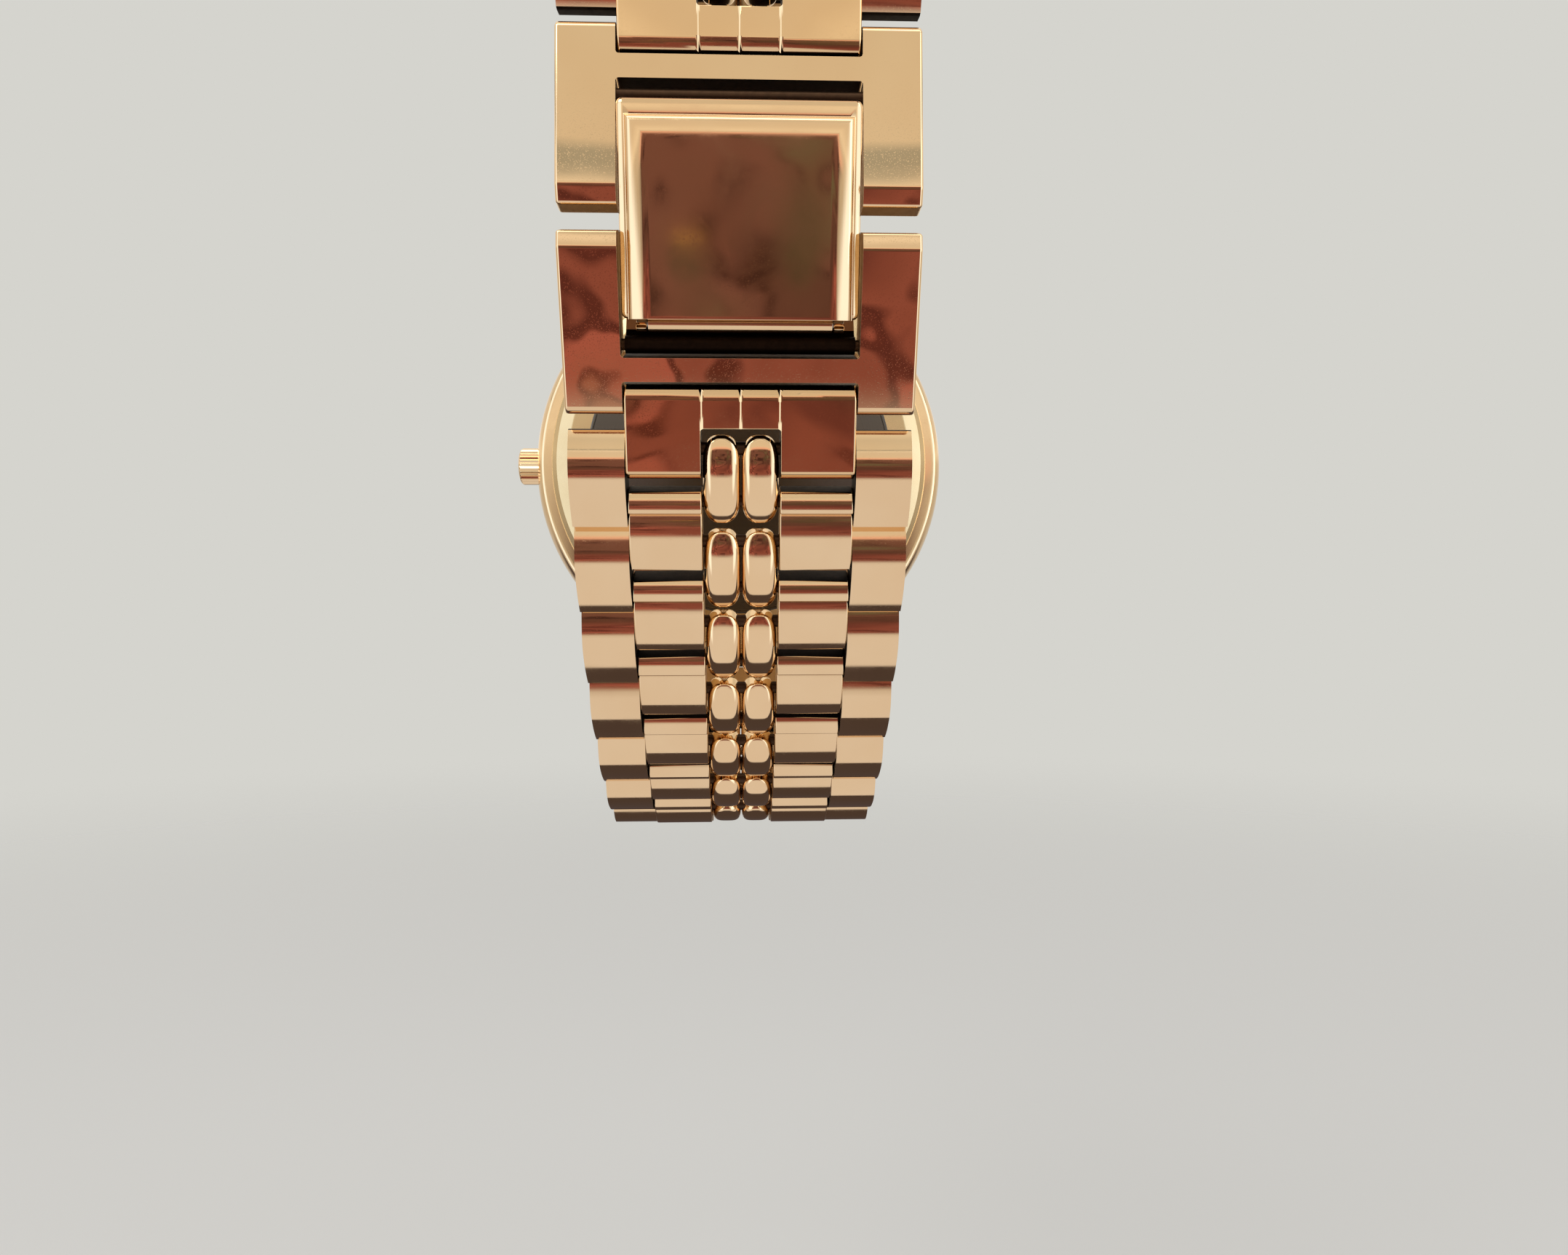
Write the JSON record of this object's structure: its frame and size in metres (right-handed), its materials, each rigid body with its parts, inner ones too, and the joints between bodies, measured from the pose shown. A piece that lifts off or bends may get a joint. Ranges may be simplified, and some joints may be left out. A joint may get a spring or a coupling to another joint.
{
  "type": "wristwatch",
  "caption": "Dress wristwatch with a round gold-tone case on a beaded link bracelet, closed by a folding clasp.",
  "frame": {"origin": "centre of the opening that the wrist goes through, halfway between clasp and case", "axes": "+X across the bracelet, away from the crown; +Y from the clasp to the head, the way the dial faces; +Z towards 12 o'clock"},
  "size_m": [0.0368, 0.049, 0.068],
  "materials": {
    "plated_gold": "polished",
    "pin_steel": "satin",
    "crystal": "clear",
    "dial_paint": "matt lacquer",
    "hand_gold": "polished",
    "gasket_rubber": "matt",
    "holder_plastic": "matt",
    "clear_gasket": "satin",
    "movement_brass": "satin",
    "motor_steel": "satin",
    "battery_steel": "satin",
    "board": "satin"
  },
  "bodies": {
    "head": {"case_body": "plated_gold", "bezel": "plated_gold", "crystal": "crystal", "crystal_gasket": "clear_gasket", "dial": "dial_paint", "hour_markers": "hand_gold", "dial_ring": "dial_paint", "movement_holder": "holder_plastic", "main_plate": "movement_brass", "train_bridge": "movement_brass", "step_motor": "motor_steel", "battery": "battery_steel", "battery_clamp": "movement_brass", "circuit_board": "board", "case_back": "plated_gold", "case_back_gasket": "gasket_rubber", "end_piece_12": "plated_gold", "end_piece_6": "plated_gold", "spring_bars": "pin_steel", "crown_tube": "pin_steel"},
    "crown_slide": {"crown_gasket": "gasket_rubber"},
    "crown": {"crown": "plated_gold", "stem": "pin_steel"},
    "rotor": {"rotor": "pin_steel"},
    "hour_hand": {"hour_hand": "hand_gold"},
    "minute_hand": {"minute_hand": "hand_gold"},
    "seconds_hand": {"seconds_hand": "hand_gold"},
    "link_12_12": {"link_12_12": "plated_gold"},
    "link_12_11": {"link_12_11": "plated_gold"},
    "link_12_10": {"link_12_10": "plated_gold"},
    "link_12_9": {"link_12_9": "plated_gold"},
    "link_12_8": {"link_12_8": "plated_gold"},
    "link_12_7": {"link_12_7": "plated_gold"},
    "link_12_6": {"link_12_6": "plated_gold"},
    "link_12_5": {"link_12_5": "plated_gold"},
    "link_12_4": {"link_12_4": "plated_gold"},
    "link_12_3": {"link_12_3": "plated_gold"},
    "link_12_2": {"link_12_2": "plated_gold"},
    "link_12_1": {"link_12_1": "plated_gold"},
    "end_link_12": {"end_link_12": "plated_gold"},
    "clasp_frame_12": {"clasp_frame_12": "plated_gold", "frame_pins_12": "pin_steel"},
    "link_6_10": {"link_6_10": "plated_gold"},
    "link_6_9": {"link_6_9": "plated_gold"},
    "link_6_8": {"link_6_8": "plated_gold"},
    "link_6_7": {"link_6_7": "plated_gold"},
    "link_6_6": {"link_6_6": "plated_gold"},
    "link_6_5": {"link_6_5": "plated_gold"},
    "link_6_4": {"link_6_4": "plated_gold"},
    "link_6_3": {"link_6_3": "plated_gold"},
    "link_6_2": {"link_6_2": "plated_gold"},
    "link_6_1": {"link_6_1": "plated_gold"},
    "end_link_6": {"end_link_6": "plated_gold"},
    "clasp_frame_6": {"clasp_frame_6": "plated_gold", "frame_pins_6": "pin_steel"},
    "base_blade": {"clasp_base_blade": "plated_gold", "blade_pin": "pin_steel"},
    "link_blade": {"clasp_link_blade": "plated_gold"},
    "clasp_cover": {"clasp_cover": "plated_gold", "cover_pin": "pin_steel"}
  },
  "joints": [
    {"name": "link_12_12_hinge", "type": "hinge", "parent": "head", "child": "link_12_12", "pos_m": [0, 0.0219, 0.0175], "axis": [-1, 0, 0], "range_deg": [0, 18]},
    {"name": "link_12_11_hinge", "type": "hinge", "parent": "link_12_12", "child": "link_12_11", "pos_m": [0, 0.02028, 0.02244], "axis": [-1, 0, 0], "range_deg": [0, 13.8]},
    {"name": "link_12_10_hinge", "type": "hinge", "parent": "link_12_11", "child": "link_12_10", "pos_m": [0, 0.01753, 0.02685], "axis": [-1, 0, 0], "range_deg": [0, 13.8]},
    {"name": "link_12_9_hinge", "type": "hinge", "parent": "link_12_10", "child": "link_12_9", "pos_m": [0, 0.01381, 0.03048], "axis": [-1, 0, 0], "range_deg": [0, 13.8]},
    {"name": "link_12_8_hinge", "type": "hinge", "parent": "link_12_9", "child": "link_12_8", "pos_m": [0, 0.00932, 0.03312], "axis": [-1, 0, 0], "range_deg": [0, 13.8]},
    {"name": "link_12_7_hinge", "type": "hinge", "parent": "link_12_8", "child": "link_12_7", "pos_m": [0, 0.00434, 0.03461], "axis": [-1, 0, 0], "range_deg": [0, 13.8]},
    {"name": "link_12_6_hinge", "type": "hinge", "parent": "link_12_7", "child": "link_12_6", "pos_m": [0, -0.00085, 0.03487], "axis": [-1, 0, 0], "range_deg": [0, 13.8]},
    {"name": "link_12_5_hinge", "type": "hinge", "parent": "link_12_6", "child": "link_12_5", "pos_m": [0, -0.00596, 0.03388], "axis": [-1, 0, 0], "range_deg": [0, 13.8]},
    {"name": "link_12_4_hinge", "type": "hinge", "parent": "link_12_5", "child": "link_12_4", "pos_m": [0, -0.01068, 0.03171], "axis": [-1, 0, 0], "range_deg": [0, 13.8]},
    {"name": "link_12_3_hinge", "type": "hinge", "parent": "link_12_4", "child": "link_12_3", "pos_m": [0, -0.01475, 0.02847], "axis": [-1, 0, 0], "range_deg": [0, 13.8]},
    {"name": "link_12_2_hinge", "type": "hinge", "parent": "link_12_3", "child": "link_12_2", "pos_m": [0, -0.01793, 0.02435], "axis": [-1, 0, 0], "range_deg": [0, 13.8]},
    {"name": "link_12_1_hinge", "type": "hinge", "parent": "link_12_2", "child": "link_12_1", "pos_m": [0, -0.02003, 0.0196], "axis": [-1, 0, 0], "range_deg": [0, 13.8]},
    {"name": "end_link_12_hinge", "type": "hinge", "parent": "link_12_1", "child": "end_link_12", "pos_m": [0, -0.02094, 0.01448], "axis": [-1, 0, 0], "range_deg": [0, 13.8]},
    {"name": "clasp_frame_12_hinge", "type": "hinge", "parent": "end_link_12", "child": "clasp_frame_12", "pos_m": [0, -0.02077, 0.01183], "axis": [-1, 0, 0], "range_deg": [0, 15]},
    {"name": "link_6_10_hinge", "type": "hinge", "parent": "head", "child": "link_6_10", "pos_m": [0, 0.0219, -0.0243], "axis": [1, 0, 0], "range_deg": [0, 44]},
    {"name": "link_6_9_hinge", "type": "hinge", "parent": "link_6_10", "child": "link_6_9", "pos_m": [0, 0.01816, -0.02791], "axis": [1, 0, 0], "range_deg": [0, 18.22]},
    {"name": "link_6_8_hinge", "type": "hinge", "parent": "link_6_9", "child": "link_6_8", "pos_m": [0, 0.01348, -0.03018], "axis": [1, 0, 0], "range_deg": [0, 18.22]},
    {"name": "link_6_7_hinge", "type": "hinge", "parent": "link_6_8", "child": "link_6_7", "pos_m": [0, 0.00832, -0.03086], "axis": [1, 0, 0], "range_deg": [0, 18.22]},
    {"name": "link_6_6_hinge", "type": "hinge", "parent": "link_6_7", "child": "link_6_6", "pos_m": [0, 0.00321, -0.0299], "axis": [1, 0, 0], "range_deg": [0, 18.22]},
    {"name": "link_6_5_hinge", "type": "hinge", "parent": "link_6_6", "child": "link_6_5", "pos_m": [0, -0.00134, -0.02739], "axis": [1, 0, 0], "range_deg": [0, 7.29]},
    {"name": "link_6_4_hinge", "type": "hinge", "parent": "link_6_5", "child": "link_6_4", "pos_m": [0, -0.00554, -0.02432], "axis": [1, 0, 0], "range_deg": [0, 7.29]},
    {"name": "link_6_3_hinge", "type": "hinge", "parent": "link_6_4", "child": "link_6_3", "pos_m": [0, -0.00931, -0.02075], "axis": [1, 0, 0], "range_deg": [0, 7.29]},
    {"name": "link_6_2_hinge", "type": "hinge", "parent": "link_6_3", "child": "link_6_2", "pos_m": [0, -0.0126, -0.01672], "axis": [1, 0, 0], "range_deg": [0, 7.29]},
    {"name": "link_6_1_hinge", "type": "hinge", "parent": "link_6_2", "child": "link_6_1", "pos_m": [0, -0.01536, -0.01231], "axis": [1, 0, 0], "range_deg": [0, 7.29]},
    {"name": "end_link_6_hinge", "type": "hinge", "parent": "link_6_1", "child": "end_link_6", "pos_m": [0, -0.01753, -0.00758], "axis": [1, 0, 0], "range_deg": [0, 7.29]},
    {"name": "clasp_frame_6_hinge", "type": "hinge", "parent": "end_link_6", "child": "clasp_frame_6", "pos_m": [0, -0.01832, -0.00505], "axis": [1, 0, 0], "range_deg": [0, 15]},
    {"name": "base_blade_hinge", "type": "hinge", "parent": "clasp_frame_6", "child": "base_blade", "pos_m": [0, -0.01923, -0.00256], "axis": [-1, 0, 0], "range_deg": [0, 20]},
    {"name": "link_blade_hinge", "type": "hinge", "parent": "base_blade", "child": "link_blade", "pos_m": [0, -0.02115, 0.00775], "axis": [-1, 0, 0], "range_deg": [0, 145]},
    {"name": "cover_hinge", "type": "hinge", "parent": "link_blade", "child": "clasp_cover", "pos_m": [0, -0.01964, -0.0016], "axis": [-1, 0, 0], "range_deg": [-145, 0]},
    {"name": "crown_pull", "type": "slide", "parent": "head", "child": "crown_slide", "axis": [-1, 0, 0], "range_m": [0, 0.001]},
    {"name": "crown_turn", "type": "hinge", "parent": "crown_slide", "child": "crown", "pos_m": [-0.0178, 0.0225, -0.0034], "axis": [-1, 0, 0], "continuous": true},
    {"name": "seconds_turn", "type": "hinge", "parent": "head", "child": "seconds_hand", "pos_m": [0, 0.0245, -0.0034], "axis": [0, -1, 0], "continuous": true},
    {"name": "minute_turn", "type": "hinge", "parent": "head", "child": "minute_hand", "pos_m": [0, 0.0243, -0.0034], "axis": [0, -1, 0], "continuous": true},
    {"name": "hour_turn", "type": "hinge", "parent": "head", "child": "hour_hand", "pos_m": [0, 0.024, -0.0034], "axis": [0, -1, 0], "continuous": true},
    {"name": "rotor_turn", "type": "hinge", "parent": "head", "child": "rotor", "pos_m": [0.0046, 0.0215, -0.0066], "axis": [0, -1, 0], "continuous": true}
  ],
  "couplings": [
    {"joint": "cover_hinge", "follows": "link_blade_hinge", "ratio": -1},
    {"joint": "minute_turn", "follows": "seconds_turn", "ratio": 0.016667},
    {"joint": "hour_turn", "follows": "seconds_turn", "ratio": 0.0013889},
    {"joint": "rotor_turn", "follows": "seconds_turn", "ratio": -30}
  ]
}
